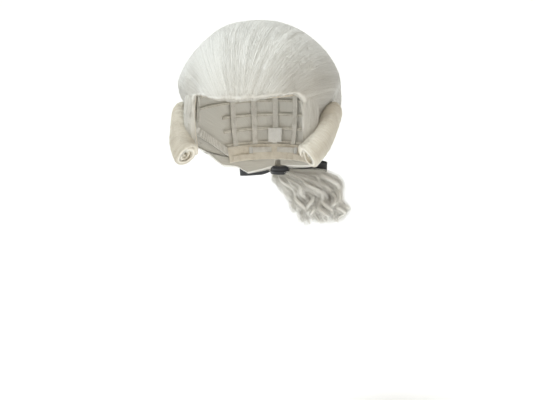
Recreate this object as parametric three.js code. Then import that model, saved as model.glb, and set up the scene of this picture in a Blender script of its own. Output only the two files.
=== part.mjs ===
// Powdered costume wig: open elastic cap, sewn hair wefts, two side rolls and a low tied tail.
// Millimetres, +Z up, -Y the face side, +X the wearer's left.
// The origin is midway between the wearer's ears, on the middle plane of the head.
import * as THREE from 'three';

// ---- Driving dimensions -------------------------------------------------------------------

// the head that the cap is cut for: an ellipsoid, longer below its widest line than above
const HEAD_HALF_WIDTH = 70;
const HEAD_HALF_DEPTH = 98;
const HEAD_RISE = 93;
const HEAD_DROP = 120;
const HEAD_CENTRE_Y = 4;
const HEAD_CENTRE_Z = 38;

// layers, counted outwards from the head
const SKIN_GAP = 0.5;
const TAPE_THICK = 0.8;
const BAND_THICK = 1;
const WEFT_THICK = 1.2;
const LAYER_GAP = 0.6;

// how far the hair stands off the head at its outside
const HAIR_AT_HAIRLINE = 7.2;
const HAIR_ON_TOP = 9;
const HAIR_IN_FRONT = 10;
const HAIR_AT_SIDES = 25;
const HAIR_AT_NECK = 10;
const HAIR_AT_BACK = 13;
const FLAT_HAIR = 7.2;

// lines on the head, as angles down from the top of the head
const CROWN_ANGLE = 36;
const NET_ANGLE = 61;
const HAIRLINE_ANGLE = 74.5;
const TAB_FOOT_ANGLE = 106;
const NAPE_TOP_ANGLE = 114;
const NAPE_FOOT_ANGLE = 123;
const LOWER_EDGE_EAR = 98;
const SIDE_HAIR_FRONT_FOOT = 104;
const SIDE_HAIR_BACK_FOOT = 114;
const BACK_HAIR_FOOT = 123.5;
const HAIRLINE_FADE = 26;
const FULL_DOWN_TO = 84;
const CLOSE_FROM = 110;
const ROLL_BED_TOP = 68;
const ROLL_BED_FULL = 77;

// lines on the head, as angles round from the middle of the face
const HAIRLINE_CORNER = 46;
const SIDE_EDGE = 52;
const TEMPLE_BACK = 66;
const SIDE_BACK = 112;
const EAR_BACK = 130;
const BACK_MIDDLE = 180;
const ROLL_BED_BACK = 92;

// seams are open by this angle, about 0.4 mm on the head
const SEAM = 0.25;

// elastic tapes and wefts
const RIBBON_WIDTH_ANGLE = 5;
const RIBBON_SPACING_ANGLE = 20;
const RIBBON_COUNT = 5;
const SIDE_RIBBON_ROUND = 94;
const WEFT_WIDTH_ANGLE = 1.6;
const WEFT_ROWS = 7;
const CROWN_WEFTS = [22, 46];
const FRONT_WEFT_ABOVE = 5;
const LINING_WIDTH_ANGLE = 7.5;
const LABEL_HALF_ANGLE = 7;
const LABEL_HEIGHT_ANGLE = 8;
const ELASTIC_WIDTH_ANGLE = 5;
const TAB_SETBACK = 3;
const STAY_SETBACK = 7;
const STAY_WIDTH_ANGLE = 2;

// side rolls
const ROLL_RADIUS = 13.6;
const ROLL_FLATNESS = 0.8;
const ROLL_REAR_FLATNESS = 0.58;
const ROLL_REAR_SHARE = 0.76;
const ROLL_SHEET = 3.4;
const ROLL_INNER_GAP = 1.6;
const ROLL_FRONT_FLATNESS = 0.9;
const ROLL_FRONT_ROUND = 49.6;
const ROLL_FRONT_DOWN = 105.7;
const ROLL_MIDDLE_ROUND = 66;
const ROLL_MIDDLE_DOWN = 99;
const ROLL_REAR_ROUND = 90;
const ROLL_REAR_DOWN = 86;
const ROLL_CLEAR = 1.2;
const ROLL_SEAM = Math.PI * 0.9;

// tail and its tie
const TIE_ASIDE = 6;
const TIE_BEHIND = 1.45;
const TIE_FOOT = 2.5;
const TIE_BORE = 9.2;
const ELASTIC_THICK = 1.8;
const ELASTIC_HEIGHT = 5;
const WRAP_THICK = 1;
const WRAP_HEIGHT = 8;
const GATHER_ROOM = 2.8;
const GATHER_SLACK = 2;
const TAIL_DROP = 57;
const TAIL_LEAN = 44;
const TAIL_CURVE = 3;
const TAIL_BACK = 20;
const TAIL_START = 5;
const LOCK_ROOT_RADIUS = 2;
const LOCK_RADIUS = 11.5;
const LOCK_GAP = 0.4;

// ribbon
const RIBBON_WIDTH = 17;
const RIBBON_THICK = 0.7;
const LOOP_LENGTH = 46;
const LOOP_DEPTH = 15;
const KNOT_WIDTH = 12;
const KNOT_DEPTH = 6;
const LOOP_DROOP = 3;
const RIBBON_TAIL_LENGTH = 52;
const RIBBON_TAIL_FALL = 41;
const TOUCH_GAP = 0.4;

// adjusters at the nape
const ADJUSTER_WIDTH_ANGLE = 3;
const ADJUSTER_LIFT = 0.2;
const ADJUSTER_THICK = 0.7;
const HOOK_THICK = 1.1;

// layer heights above the head
const TAPE_FOOT = SKIN_GAP + TAPE_THICK + LAYER_GAP;
const TAPE_TOP = TAPE_FOOT + TAPE_THICK;
const BAND_TOP = TAPE_FOOT + BAND_THICK;
const WEFT_FOOT = BAND_TOP + LAYER_GAP;
const WEFT_TOP = WEFT_FOOT + WEFT_THICK;
const HAIR_FOOT = WEFT_TOP + LAYER_GAP + 0.1;
const GRID = 7.5;

// ---- Helpers ------------------------------------------------------------------------------

const wig = new THREE.Group();

function material(color, roughness) {
  return new THREE.MeshStandardMaterial({ color, roughness, metalness: 0 });
}

const hairWhite = material(0xe4e2dc, 0.5);
const hairShade = material(0xcfc8b8, 0.5);
const tapeWhite = material(0xefeae0, 0.9);
const netBeige = material(0xd9cdb8, 0.9);
const weftWhite = material(0xdedad0, 0.8);
const liningBeige = material(0xcdb596, 0.95);
const stayClear = material(0xd8dcdc, 0.4);
const hookClear = material(0xe6e6e2, 0.35);
const ribbonBlack = material(0x17171b, 0.4);
const elasticWhite = material(0xf0eee8, 0.8);
const labelWhite = material(0xf6f6f4, 0.7);

function add(name, geometry, finish) {
  const mesh = new THREE.Mesh(geometry, finish);
  mesh.name = name;
  wig.add(mesh);
  return mesh;
}

// a point at an angle round the head and an angle down from its top, lifted off its surface
function onHead(round, down, lift) {
  const a = THREE.MathUtils.degToRad(round);
  const d = THREE.MathUtils.degToRad(down);
  const height = Math.cos(d) >= 0 ? HEAD_RISE : HEAD_DROP;
  return new THREE.Vector3(
    (HEAD_HALF_WIDTH + lift) * Math.sin(d) * Math.sin(a),
    HEAD_CENTRE_Y - (HEAD_HALF_DEPTH + lift) * Math.sin(d) * Math.cos(a),
    HEAD_CENTRE_Z + (height + lift) * Math.cos(d),
  );
}

// moves every vertex of a geometry by a rule
function bend(geometry, rule) {
  const place = geometry.attributes.position;
  const point = new THREE.Vector3();
  for (let i = 0; i < place.count; i += 1) {
    point.fromBufferAttribute(place, i);
    const moved = rule(point);
    place.setXYZ(i, moved.x, moved.y, moved.z);
  }
  geometry.computeVertexNormals();
  return geometry;
}

const valueAt = (bound, ...where) => (typeof bound === 'function' ? bound(...where) : bound);

// a closed panel on the head: round and down are pairs of edges, lift is its inside and outside.
// An edge is a number or a rule; down edges follow the way round, and round edges the way down.
function panel({ round, down, lift }) {
  const [left, right] = round;
  const [top, foot] = down;
  const span = Math.abs(valueAt(right, 0.5) - valueAt(left, 0.5));
  const drop = Math.abs(valueAt(foot, 0.5) - valueAt(top, 0.5));
  const across = Math.max(1, Math.ceil(span / GRID));
  const along = Math.max(1, Math.ceil(drop / GRID));
  const box = new THREE.BoxGeometry(1, 1, 1, across, along, 1);
  return bend(box, (p) => {
    const u = p.x + 0.5;
    const v = 0.5 - p.y;
    const a = THREE.MathUtils.lerp(valueAt(left, v), valueAt(right, v), u);
    const d = THREE.MathUtils.lerp(valueAt(top, u), valueAt(foot, u), v);
    const height = p.z < 0 ? valueAt(lift[0], a, d) : valueAt(lift[1], a, d);
    return onHead(a, d, height);
  });
}

// a closed dome or ring round the top of the head, between two angles down
function dome(inside, outside, startAngle, footAngle) {
  const steps = Math.max(1, Math.ceil((footAngle - startAngle) / GRID));
  const profile = [];
  for (let i = 0; i <= steps; i += 1) {
    profile.push(new THREE.Vector2(THREE.MathUtils.lerp(startAngle, footAngle, i / steps), 0));
  }
  for (let i = steps; i >= 0; i -= 1) {
    profile.push(new THREE.Vector2(THREE.MathUtils.lerp(startAngle, footAngle, i / steps), 1));
  }
  if (startAngle > 0) profile.push(profile[0].clone());
  const turns = 360 / GRID;
  return bend(new THREE.LatheGeometry(profile, turns), (p) => {
    const down = Math.hypot(p.x, p.z);
    const round = THREE.MathUtils.radToDeg(Math.atan2(p.x, p.z));
    const lift = p.y > 0.5 ? valueAt(outside, round, down) : valueAt(inside, round, down);
    return onHead(round, down, lift);
  });
}

// how far the outside of the hair stands off the head
function hairOutside(round, down) {
  const a = THREE.MathUtils.degToRad(round);
  const d = THREE.MathUtils.degToRad(down);
  const side = Math.sin(a) ** 2;
  const ends = Math.cos(a) >= 0 ? HAIR_IN_FRONT : HAIR_AT_BACK;
  const toNeck = THREE.MathUtils.smoothstep(down, FULL_DOWN_TO, CLOSE_FROM);
  const sides = THREE.MathUtils.lerp(HAIR_AT_SIDES, HAIR_AT_NECK, toNeck);
  const level = sides * side + ends * (1 - side);
  return HAIR_ON_TOP * Math.cos(d) ** 2 + level * Math.sin(d) ** 2;
}

// the same, thinned to the hairline along the face
function faceHairOutside(round, down) {
  const toHairline = THREE.MathUtils.smoothstep(down, HAIRLINE_ANGLE - HAIRLINE_FADE, HAIRLINE_ANGLE);
  return THREE.MathUtils.lerp(hairOutside(round, down), HAIR_AT_HAIRLINE, toHairline);
}

// ---- Cap ----------------------------------------------------------------------------------

// the cap's lower edge behind the tabs, over the ears and down to the nape
function earEdge(u) {
  return THREE.MathUtils.lerp(LOWER_EDGE_EAR, NAPE_TOP_ANGLE + 4, u ** 1.6);
}

function makeCap() {
  add('crown_net', dome(TAPE_FOOT, TAPE_TOP, 0, NET_ANGLE), netBeige);
  add('front_band', panel({
    round: [-SIDE_EDGE - 10, SIDE_EDGE + 10],
    down: [NET_ANGLE + SEAM, HAIRLINE_ANGLE],
    lift: [TAPE_FOOT, BAND_TOP],
  }), tapeWhite);
  add('forehead_lining', panel({
    round: [-SIDE_EDGE, SIDE_EDGE],
    down: [HAIRLINE_ANGLE - SEAM * 2 - LINING_WIDTH_ANGLE, HAIRLINE_ANGLE - SEAM * 2],
    lift: [SKIN_GAP, SKIN_GAP + TAPE_THICK],
  }), liningBeige);
  add('nape_band', panel({
    round: [EAR_BACK + SEAM, 360 - EAR_BACK - SEAM],
    down: [NAPE_TOP_ANGLE, NAPE_FOOT_ANGLE],
    lift: [TAPE_FOOT, BAND_TOP],
  }), tapeWhite);
  add('care_label', panel({
    round: [BACK_MIDDLE - LABEL_HALF_ANGLE, BACK_MIDDLE + LABEL_HALF_ANGLE],
    down: [NAPE_TOP_ANGLE - 1 - LABEL_HEIGHT_ANGLE, NAPE_TOP_ANGLE - 1],
    lift: [SKIN_GAP, SKIN_GAP + TAPE_THICK],
  }), labelWhite);
}

// round edges for one side of the head: side is 1 for the wearer's left and -1 for the right
function roundEdges(side, near, far) {
  return side > 0 ? [near, far] : [(v) => -valueAt(far, v), (v) => -valueAt(near, v)];
}

// a rule along a panel's width, read from the face backwards on both sides
const fromFace = (side, rule) => (u) => rule(side > 0 ? u : 1 - u);

function makeCapSide(word, side) {
  const tabFront = SIDE_EDGE + TAB_SETBACK;
  const tabBack = TEMPLE_BACK + TAB_SETBACK;
  const stayFront = tabFront + STAY_SETBACK;
  add(`${word}_ear_tab`, panel({
    round: roundEdges(side, tabFront, tabBack),
    down: [HAIRLINE_ANGLE + SEAM, TAB_FOOT_ANGLE - 2],
    lift: [TAPE_FOOT, BAND_TOP],
  }), tapeWhite);
  add(`${word}_tab_stay`, panel({
    round: roundEdges(side, stayFront, stayFront + STAY_WIDTH_ANGLE),
    down: [HAIRLINE_ANGLE + 5, TAB_FOOT_ANGLE - 5],
    lift: [SKIN_GAP, SKIN_GAP + TAPE_THICK],
  }), stayClear);
  add(`${word}_ear_elastic`, panel({
    round: roundEdges(side, tabBack + SEAM, EAR_BACK),
    down: [fromFace(side, (u) => earEdge(u) + 1 - ELASTIC_WIDTH_ANGLE), fromFace(side, (u) => earEdge(u) + 1)],
    lift: [TAPE_FOOT, BAND_TOP],
  }), tapeWhite);
  add(`${word}_side_ribbon`, panel({
    round: roundEdges(side, SIDE_RIBBON_ROUND, SIDE_RIBBON_ROUND + RIBBON_WIDTH_ANGLE),
    down: [NET_ANGLE + SEAM, LOWER_EDGE_EAR - 2],
    lift: [TAPE_FOOT, TAPE_TOP],
  }), tapeWhite);
}

function makeBackRibbons() {
  for (let i = 0; i < RIBBON_COUNT; i += 1) {
    const middle = BACK_MIDDLE + (i - (RIBBON_COUNT - 1) / 2) * RIBBON_SPACING_ANGLE;
    add(`back_ribbon_${i + 1}`, panel({
      round: [middle - RIBBON_WIDTH_ANGLE / 2, middle + RIBBON_WIDTH_ANGLE / 2],
      down: [NET_ANGLE + SEAM, NAPE_TOP_ANGLE - SEAM],
      lift: [TAPE_FOOT, TAPE_TOP],
    }), tapeWhite);
  }
}

// rows of sewn hair across the back of the cap, and rings round its crown
function makeWefts() {
  const firstRow = NET_ANGLE + 5;
  const lastRow = NAPE_TOP_ANGLE - 2;
  for (let i = 0; i < WEFT_ROWS; i += 1) {
    const down = THREE.MathUtils.lerp(firstRow, lastRow, i / (WEFT_ROWS - 1));
    const reach = down < LOWER_EDGE_EAR - 4 ? BACK_MIDDLE - TEMPLE_BACK - 8 : BACK_MIDDLE - EAR_BACK;
    add(`weft_row_${i + 1}`, panel({
      round: [BACK_MIDDLE - reach, BACK_MIDDLE + reach],
      down: [down, down + WEFT_WIDTH_ANGLE],
      lift: [WEFT_FOOT, WEFT_TOP],
    }), weftWhite);
  }
  CROWN_WEFTS.forEach((down, i) => {
    add(`crown_weft_${i + 1}`, dome(WEFT_FOOT, WEFT_TOP, down, down + WEFT_WIDTH_ANGLE), weftWhite);
  });
  add('front_weft', panel({
    round: [-SIDE_EDGE - 6, SIDE_EDGE + 6],
    down: [HAIRLINE_ANGLE - FRONT_WEFT_ABOVE, HAIRLINE_ANGLE - FRONT_WEFT_ABOVE + WEFT_WIDTH_ANGLE],
    lift: [WEFT_FOOT, WEFT_TOP],
  }), weftWhite);
}

// ---- Adjusters ----------------------------------------------------------------------------

function makeAdjuster(word, side) {
  const middle = (NAPE_TOP_ANGLE + NAPE_FOOT_ANGLE) / 2 - 1;
  const width = [middle - ADJUSTER_WIDTH_ANGLE / 2, middle + ADJUSTER_WIDTH_ANGLE / 2];
  const strapLift = [ADJUSTER_LIFT, ADJUSTER_LIFT + ADJUSTER_THICK];
  const strapEnd = BACK_MIDDLE - 23;
  add(`${word}_adjuster_strap`, panel({
    round: roundEdges(side, strapEnd, BACK_MIDDLE - 3),
    down: width,
    lift: strapLift,
  }), elasticWhite);
  add(`${word}_adjuster_hook`, panel({
    round: roundEdges(side, strapEnd - 4, strapEnd - SEAM),
    down: [width[0] - 0.3, width[1] + 0.3],
    lift: [ADJUSTER_LIFT, ADJUSTER_LIFT + HOOK_THICK],
  }), hookClear);
  add(`${word}_eyelet_tape`, panel({
    round: roundEdges(side, EAR_BACK + 4, strapEnd),
    down: [width[1] + 0.7, NAPE_FOOT_ANGLE - 0.2],
    lift: strapLift,
  }), elasticWhite);
}

// ---- Hair ---------------------------------------------------------------------------------

function makeHair() {
  add('crown_hair', dome(HAIR_FOOT, hairOutside, 0, CROWN_ANGLE - SEAM), hairWhite);
  add('front_hair', panel({
    round: [-HAIRLINE_CORNER, HAIRLINE_CORNER],
    down: [CROWN_ANGLE, HAIRLINE_ANGLE],
    lift: [HAIR_FOOT, faceHairOutside],
  }), hairWhite);
}

// the foot of the back hair runs from the side down to the middle of the nape
function backFoot(u) {
  return THREE.MathUtils.lerp(SIDE_HAIR_BACK_FOOT, BACK_HAIR_FOOT, Math.sin((Math.PI / 2) * u) ** 0.7);
}

// the temple hair steps forward to the hairline's corner above, and down to the tab's foot
function templeFront(v) {
  const hairlineShare = (HAIRLINE_ANGLE - CROWN_ANGLE) / (TAB_FOOT_ANGLE - CROWN_ANGLE);
  return THREE.MathUtils.lerp(
    HAIRLINE_CORNER + SEAM,
    SIDE_EDGE,
    THREE.MathUtils.smoothstep(v, hairlineShare - 0.02, hairlineShare + 0.12),
  );
}

function makeHairSide(word, side) {
  add(`${word}_temple_hair`, panel({
    round: roundEdges(side, templeFront, TEMPLE_BACK - SEAM),
    down: [CROWN_ANGLE, fromFace(side, (u) => TAB_FOOT_ANGLE - 4 * (1 - u))],
    lift: [HAIR_FOOT, templeOutside],
  }), hairShade);
  add(`${word}_side_hair`, panel({
    round: roundEdges(side, TEMPLE_BACK, SIDE_BACK),
    down: [CROWN_ANGLE, fromFace(side, (u) =>
      THREE.MathUtils.lerp(SIDE_HAIR_FRONT_FOOT, SIDE_HAIR_BACK_FOOT, u))],
    lift: [HAIR_FOOT, sideOutside],
  }), hairWhite);
  add(`${word}_back_hair`, panel({
    round: roundEdges(side, SIDE_BACK + SEAM, BACK_MIDDLE - SEAM / 2),
    down: [CROWN_ANGLE, fromFace(side, backFoot)],
    lift: [HAIR_FOOT, hairOutside],
  }), hairWhite);
}

// flat under the roll, full above it
function underRoll(round, down, outside) {
  const below = THREE.MathUtils.smoothstep(down, ROLL_BED_TOP, ROLL_BED_FULL);
  return THREE.MathUtils.lerp(outside, FLAT_HAIR, below);
}

function templeOutside(round, down) {
  const toFace = THREE.MathUtils.smoothstep(Math.abs(round), TEMPLE_BACK, SIDE_EDGE);
  const thinned = THREE.MathUtils.lerp(hairOutside(round, down), FLAT_HAIR, toFace);
  return underRoll(round, down, thinned);
}

function sideOutside(round, down) {
  const behindRoll = THREE.MathUtils.smoothstep(Math.abs(round), ROLL_BED_BACK, SIDE_BACK);
  const outside = hairOutside(round, down);
  return THREE.MathUtils.lerp(underRoll(round, down, outside), outside, behindRoll);
}

// ---- Side rolls ---------------------------------------------------------------------------

// a sheet of hair rolled up, seen from its end: a spiral band over one and a half turns long
function spiralBand(side) {
  const steps = 22;
  const turn = Math.PI * 3.3;
  const pitch = (ROLL_SHEET + ROLL_INNER_GAP) / (2 * Math.PI);
  const outer = [];
  const inner = [];
  for (let i = 0; i <= steps; i += 1) {
    const wound = (turn * i) / steps;
    const angle = side * (wound + ROLL_SEAM);
    const radius = ROLL_RADIUS - pitch * wound;
    const thick = ROLL_SHEET * (i === 0 ? 0.3 : 1);
    outer.push(new THREE.Vector2(Math.cos(angle) * radius, Math.sin(angle) * radius));
    inner.push(new THREE.Vector2(Math.cos(angle) * (radius - thick), Math.sin(angle) * (radius - thick)));
  }
  return new THREE.Shape([...outer, ...inner.reverse()]);
}

// the spiral band, drawn out along the roll's curve: round where it stands off the cheek in
// front, flattened where it lies on the flat side hair behind
function rollGeometry(side) {
  const seat = FLAT_HAIR + ROLL_CLEAR;
  const frontLift = seat + ROLL_RADIUS * ROLL_FRONT_FLATNESS;
  const front = onHead(side * ROLL_FRONT_ROUND, ROLL_FRONT_DOWN, frontLift);
  const middleLift = seat + ROLL_RADIUS * ROLL_FLATNESS;
  const rearLift = seat + ROLL_RADIUS * ROLL_REAR_FLATNESS;
  const middle = onHead(side * ROLL_MIDDLE_ROUND, ROLL_MIDDLE_DOWN, middleLift);
  const rear = onHead(side * ROLL_REAR_ROUND, ROLL_REAR_DOWN, rearLift);
  const bulge = middle.clone().multiplyScalar(2).sub(front.clone().lerp(rear, 0.5));
  const path = new THREE.QuadraticBezierCurve3(front, bulge, rear);
  const band = new THREE.ExtrudeGeometry(spiralBand(side), { depth: 1, steps: 8, bevelEnabled: false });
  return bend(band, (p) => {
    const centre = path.getPoint(p.z);
    const along = path.getTangent(p.z);
    const outward = new THREE.Vector3(centre.x, (centre.y - HEAD_CENTRE_Y) * 0.55, 0);
    outward.addScaledVector(along, -outward.dot(along)).normalize();
    const upward = new THREE.Vector3().crossVectors(along, outward);
    const seated = THREE.MathUtils.lerp(0.98, ROLL_FLATNESS, THREE.MathUtils.smoothstep(p.z, 0, 0.45));
    const flat = THREE.MathUtils.lerp(seated, ROLL_REAR_FLATNESS, THREE.MathUtils.smoothstep(p.z, 0.5, 1));
    const full = THREE.MathUtils.lerp(1, ROLL_REAR_SHARE, THREE.MathUtils.smoothstep(p.z, 0.55, 1));
    return centre.addScaledVector(outward, p.x * flat).addScaledVector(upward, p.y * full);
  });
}

// ---- Tie and tail -------------------------------------------------------------------------

// the tie hangs under the foot of the back hair, a little to the wearer's left
const NAPE_HAIR = onHead(BACK_MIDDLE, BACK_HAIR_FOOT, hairOutside(BACK_MIDDLE, BACK_HAIR_FOOT));
const TIE = new THREE.Vector3(
  TIE_ASIDE,
  NAPE_HAIR.y + TIE_BEHIND,
  NAPE_HAIR.z - GATHER_ROOM - WRAP_HEIGHT - TIE_FOOT,
);

// a closed column with level round sections, along a rule for its middle and its radius
function column(middle, radius, sides, steps) {
  return bend(new THREE.CylinderGeometry(1, 1, 1, sides, steps), (p) => {
    const s = 0.5 - p.y;
    const centre = middle(s);
    const r = radius(s);
    return new THREE.Vector3(centre.x + p.x * r, centre.y - p.z * r, centre.z);
  });
}

// a level ring round the tie
function ring(inside, outside, foot, top) {
  const profile = [[inside, foot], [outside, foot], [outside, top], [inside, top], [inside, foot]];
  const points = profile.map(([r, z]) => new THREE.Vector2(r, z));
  return bend(new THREE.LatheGeometry(points, 24), (p) =>
    new THREE.Vector3(TIE.x + p.x, TIE.y - p.z, TIE.z + p.y));
}

function makeTie() {
  const wrapInside = TIE_BORE + ELASTIC_THICK + TOUCH_GAP;
  const wrapTop = TIE_FOOT + WRAP_HEIGHT;
  const elasticFoot = TIE_FOOT + (WRAP_HEIGHT - ELASTIC_HEIGHT) / 2;
  add('tail_gather', column(
    (s) => new THREE.Vector3(
      THREE.MathUtils.lerp(TIE.x - 1.5, TIE.x, s),
      THREE.MathUtils.lerp(TIE.y - 2, TIE.y, s),
      THREE.MathUtils.lerp(TIE.z + wrapTop, TIE.z + TIE_FOOT * 2, s),
    ),
    () => TIE_BORE - TOUCH_GAP - GATHER_SLACK,
    14,
    2,
  ), hairShade);
  add('tail_elastic', ring(TIE_BORE, TIE_BORE + ELASTIC_THICK, elasticFoot, elasticFoot + ELASTIC_HEIGHT),
    elasticWhite);
  add('ribbon_wrap', ring(wrapInside, wrapInside + WRAP_THICK, TIE_FOOT, wrapTop), ribbonBlack);
}

// one loop of the bow from above: a teardrop band, narrow at the knot
function loopShape(side) {
  const start = side * (KNOT_WIDTH / 2 + TOUCH_GAP);
  const end = start + side * LOOP_LENGTH;
  const half = LOOP_DEPTH / 2;
  const line = new THREE.Path();
  line.moveTo(start, 0);
  line.bezierCurveTo(start + side * 14, half * 1.5, end, half * 1.7, end, 0);
  line.bezierCurveTo(end, -half * 1.7, start + side * 14, -half * 1.5, start, 0);
  const outline = line.getPoints(10).slice(0, -1);
  const middle = (start + end) / 2;
  const hollow = outline.map((p) => new THREE.Vector2(
    middle + (p.x - middle) * (1 - (5 * RIBBON_THICK) / LOOP_LENGTH),
    p.y * (1 - (2.6 * RIBBON_THICK) / LOOP_DEPTH),
  ));
  const shape = new THREE.Shape(outline);
  shape.holes.push(new THREE.Path(hollow.reverse()));
  return shape;
}

function makeBow() {
  const wrapOutside = TIE_BORE + ELASTIC_THICK + TOUCH_GAP + WRAP_THICK;
  const knotY = TIE.y + wrapOutside + TOUCH_GAP + KNOT_DEPTH / 2;
  const bowZ = TIE.z + TIE_FOOT + WRAP_HEIGHT / 2;
  const knot = new THREE.SphereGeometry(1, 14, 10);
  add('ribbon_knot', bend(knot, (p) => new THREE.Vector3(
    TIE.x + Math.sign(p.x) * Math.abs(p.x) ** 0.7 * KNOT_WIDTH / 2,
    knotY - p.z * KNOT_DEPTH / 2,
    bowZ + Math.sign(p.y) * Math.abs(p.y) ** 0.7 * RIBBON_WIDTH * 0.3,
  )), ribbonBlack);
  for (const [word, side] of [['left', 1], ['right', -1]]) {
    const band = new THREE.ExtrudeGeometry(loopShape(side), { depth: RIBBON_WIDTH, steps: 1, bevelEnabled: false });
    add(`${word}_ribbon_loop`, bend(band, (p) => {
      const reach = Math.abs(p.x) / (LOOP_LENGTH + KNOT_WIDTH / 2);
      const spread = THREE.MathUtils.lerp(0.45, 1, Math.min(1, reach * 1.6));
      const z = bowZ + (p.z - RIBBON_WIDTH / 2) * spread - LOOP_DROOP * reach ** 2;
      return new THREE.Vector3(TIE.x + p.x, knotY + p.y, z);
    }), ribbonBlack);
    const strip = new THREE.BoxGeometry(1, 1, 1, 1, 6, 1);
    add(`${word}_ribbon_tail`, bend(strip, (p) => {
      const s = 0.5 - p.y;
      const out = THREE.MathUtils.lerp(5, 21, s);
      const width = THREE.MathUtils.lerp(0.5, 0.9, Math.min(1, s * 2)) * RIBBON_WIDTH;
      const foot = side * p.x > 0 ? 0 : 4 * s;
      return new THREE.Vector3(
        TIE.x + side * out + p.x * width + tailLean(s * 0.8),
        knotY + KNOT_DEPTH / 2 + TOUCH_GAP + RIBBON_TAIL_FALL * s ** 1.2 - p.z * RIBBON_THICK,
        bowZ - RIBBON_WIDTH * 0.35 - (RIBBON_TAIL_LENGTH + foot) * s,
      );
    }), ribbonBlack);
  }
}

// how far the tail has leaned towards the wearer's left at a share of its length
function tailLean(s) {
  return TAIL_LEAN * (1 - (1 - Math.min(s, 1)) ** TAIL_CURVE);
}

function tailMiddle(s, length) {
  return new THREE.Vector3(
    TIE.x + tailLean((s * length) / TAIL_DROP),
    TIE.y + TAIL_BACK * (1 - (1 - Math.min(1, (s * length) / TAIL_DROP)) ** 2),
    TIE.z - TAIL_START - s * length,
  );
}

// a lock is thin at the tie, full in the middle and pointed at its tip
function lockRadius(fall) {
  const grown = THREE.MathUtils.smoothstep(fall, -0.12, 0.45);
  const tip = 1 - THREE.MathUtils.smoothstep(fall, 0.78, 1.05);
  return THREE.MathUtils.lerp(LOCK_ROOT_RADIUS, LOCK_RADIUS, grown) * THREE.MathUtils.lerp(0.35, 1, tip);
}

function lockSpacing(fall) {
  const grown = THREE.MathUtils.smoothstep(fall, -0.12, 0.45);
  return 2 * THREE.MathUtils.lerp(LOCK_ROOT_RADIUS, LOCK_RADIUS, grown) + LOCK_GAP + 0.1;
}

// three locks outside and two inside, packed side by side
function makeTail() {
  const outer = [-1, 0, 1].map((x) => [x, 0.5]);
  const inner = [-0.5, 0.5].map((x) => [x, -0.4]);
  const lengths = [1, 1.04, 0.92, 0.96, 1.02];
  [...outer, ...inner].forEach(([x, y], i) => {
    const length = TAIL_DROP * lengths[i];
    add(`tail_lock_${i + 1}`, column(
      (s) => {
        const spacing = lockSpacing(s);
        return tailMiddle(s, length).add(new THREE.Vector3(x * spacing, y * spacing, 0));
      },
      lockRadius,
      12,
      9,
    ), hairWhite);
  });
}

// ---- Assembly -----------------------------------------------------------------------------

makeCap();
makeBackRibbons();
makeWefts();
makeHair();
for (const [word, side] of [['left', 1], ['right', -1]]) {
  makeCapSide(word, side);
  makeAdjuster(word, side);
  makeHairSide(word, side);
  add(`${word}_roll`, rollGeometry(side), hairShade);
}
makeTie();
makeBow();
makeTail();

export default wig;
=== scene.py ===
# %% [markdown]
# # A powdered costume wig
# A period costume wig is white fibre sewn in rows on a stretchy open cap. The hair is combed
# back off the forehead, two sheets of it are rolled up beside the cheeks, and the rest is
# gathered at the nape, bound, tied with a ribbon and left as a short curly tail.
# Loading the frame first gives every tape, ring and joint its real place, so each lock can be
# grown where the cap says.

# %% Load the frame
import math

import bpy
import numpy as np
from mathutils import Matrix, Vector


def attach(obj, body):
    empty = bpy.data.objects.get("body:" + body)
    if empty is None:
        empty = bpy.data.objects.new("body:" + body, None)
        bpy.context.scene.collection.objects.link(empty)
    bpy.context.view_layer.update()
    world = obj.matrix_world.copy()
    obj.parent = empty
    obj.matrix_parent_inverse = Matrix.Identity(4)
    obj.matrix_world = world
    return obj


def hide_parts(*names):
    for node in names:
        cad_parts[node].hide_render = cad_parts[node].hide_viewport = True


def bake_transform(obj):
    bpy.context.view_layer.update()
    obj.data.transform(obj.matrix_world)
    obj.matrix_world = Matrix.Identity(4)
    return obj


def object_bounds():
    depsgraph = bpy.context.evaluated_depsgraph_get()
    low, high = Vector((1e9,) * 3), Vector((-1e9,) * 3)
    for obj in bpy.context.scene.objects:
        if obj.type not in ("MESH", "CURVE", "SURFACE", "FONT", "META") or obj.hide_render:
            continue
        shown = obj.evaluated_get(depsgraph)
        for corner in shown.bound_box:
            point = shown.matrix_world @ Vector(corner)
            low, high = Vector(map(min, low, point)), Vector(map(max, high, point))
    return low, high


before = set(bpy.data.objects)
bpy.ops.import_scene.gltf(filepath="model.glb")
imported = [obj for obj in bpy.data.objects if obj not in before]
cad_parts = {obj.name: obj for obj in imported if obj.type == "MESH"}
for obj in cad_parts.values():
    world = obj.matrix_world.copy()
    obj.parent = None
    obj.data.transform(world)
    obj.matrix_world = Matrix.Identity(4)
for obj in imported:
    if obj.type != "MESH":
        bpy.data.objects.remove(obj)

CAD_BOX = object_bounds()
print("frame box", [[round(v, 3) for v in corner] for corner in CAD_BOX])

# %% [markdown]
# ## Camera and light
# The camera stands in front and a little to the wearer's left, slightly above the brow. It is
# far away with a long lens, so the near roll isn't swollen. A broad cool lamp hangs high on the
# wearer's right, and a weak warm one fills the other side, as in a plain product studio.

# %% Camera, lamps and floor
AIM = Vector((0.0066, 0.0, -0.0603))
CAMERA_ROUND = math.radians(10.8)
CAMERA_RISE = math.radians(11.3)
CAMERA_ROLL = math.radians(-1.3)
CAMERA_AWAY = 1.4
LENS = 84.8
FLOOR_BELOW = 0.25
BACKDROP = 1.2
BEND = 0.8
BEND_STEPS = 16
REACH = 4.0
FLOOR_GLOW = 0.28
SKY_COLOUR = (1.0, 0.965, 0.90, 1)
SKY_STRENGTH = 0.47
KEY_PLACE, FILL_PLACE = (-0.55, -0.40, 1.60), (0.5, -1.6, 0.25)
COOL, WARM = (0.86, 0.94, 1.0), (1.0, 0.86, 0.68)


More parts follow.
